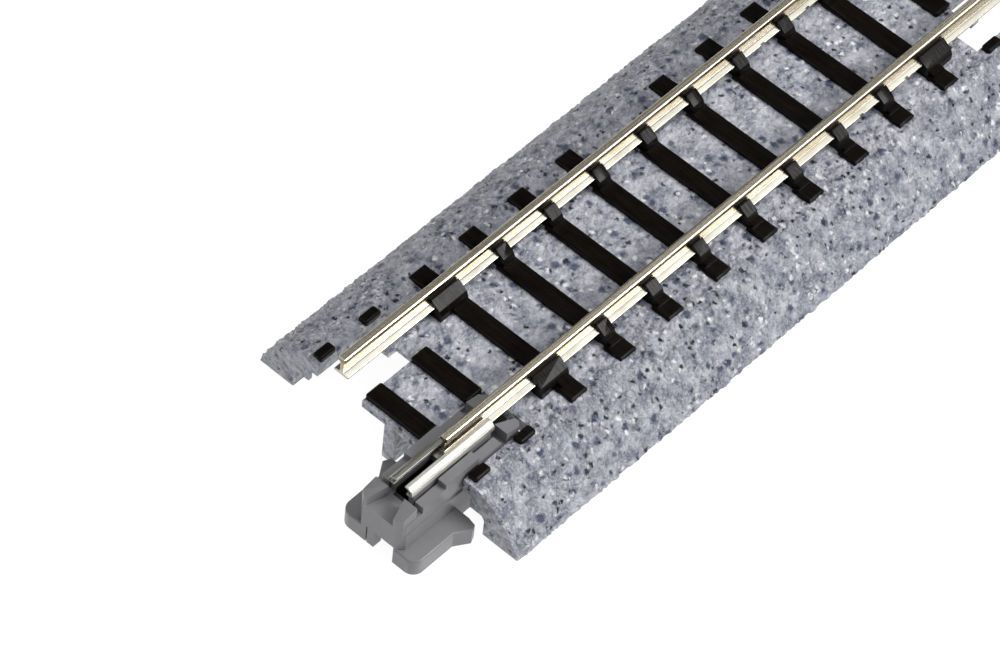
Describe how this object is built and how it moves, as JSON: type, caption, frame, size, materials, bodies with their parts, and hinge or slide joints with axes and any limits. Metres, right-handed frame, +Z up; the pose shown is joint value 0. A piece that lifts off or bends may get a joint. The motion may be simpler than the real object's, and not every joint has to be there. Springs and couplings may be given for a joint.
{
  "type": "model railway track section",
  "caption": "Short straight track section with two metal rails on sleepers, a sloped ballast roadbed and a plug-in rail joiner at each end.",
  "frame": {"origin": "middle of the underside", "axes": "+X along the track, +Y across it, +Z up out of the rails"},
  "size_m": [0.0764, 0.0248, 0.0071],
  "materials": {
    "ballast_plastic": "grey moulded roadbed plastic with dark and pale flecks",
    "sleeper_plastic": "near-black brown moulded plastic",
    "rail_metal": "drawn nickel silver",
    "joiner_plastic": "mid-grey moulded plastic, satin",
    "sleeve_metal": "folded nickel silver sheet"
  },
  "bodies": {
    "track": {"roadbed": "ballast_plastic", "left_rail": "rail_metal", "right_rail": "rail_metal", "sleeper_03": "sleeper_plastic", "sleeper_04": "sleeper_plastic", "sleeper_05": "sleeper_plastic", "sleeper_06": "sleeper_plastic", "sleeper_07": "sleeper_plastic", "sleeper_08": "sleeper_plastic", "sleeper_09": "sleeper_plastic", "sleeper_10": "sleeper_plastic", "sleeper_11": "sleeper_plastic", "sleeper_01_centre": "sleeper_plastic", "sleeper_01_left_stub": "sleeper_plastic", "sleeper_01_right_stub": "sleeper_plastic", "sleeper_02_centre": "sleeper_plastic", "sleeper_02_left_stub": "sleeper_plastic", "sleeper_02_right_stub": "sleeper_plastic", "sleeper_12_centre": "sleeper_plastic", "sleeper_12_left_stub": "sleeper_plastic", "sleeper_12_right_stub": "sleeper_plastic", "sleeper_13_centre": "sleeper_plastic", "sleeper_13_left_stub": "sleeper_plastic", "sleeper_13_right_stub": "sleeper_plastic"},
    "near_joiner": {"near_joiner_housing": "joiner_plastic", "near_joiner_sleeve": "sleeve_metal"},
    "far_joiner": {"far_joiner_housing": "joiner_plastic", "far_joiner_sleeve": "sleeve_metal"}
  },
  "joints": [
    {"name": "near_joiner_slide", "type": "slide", "parent": "track", "child": "near_joiner", "axis": [-1, 0, 0], "range_m": [0, 0.0066]},
    {"name": "far_joiner_slide", "type": "slide", "parent": "track", "child": "far_joiner", "axis": [1, 0, 0], "range_m": [0, 0.0066]}
  ]
}
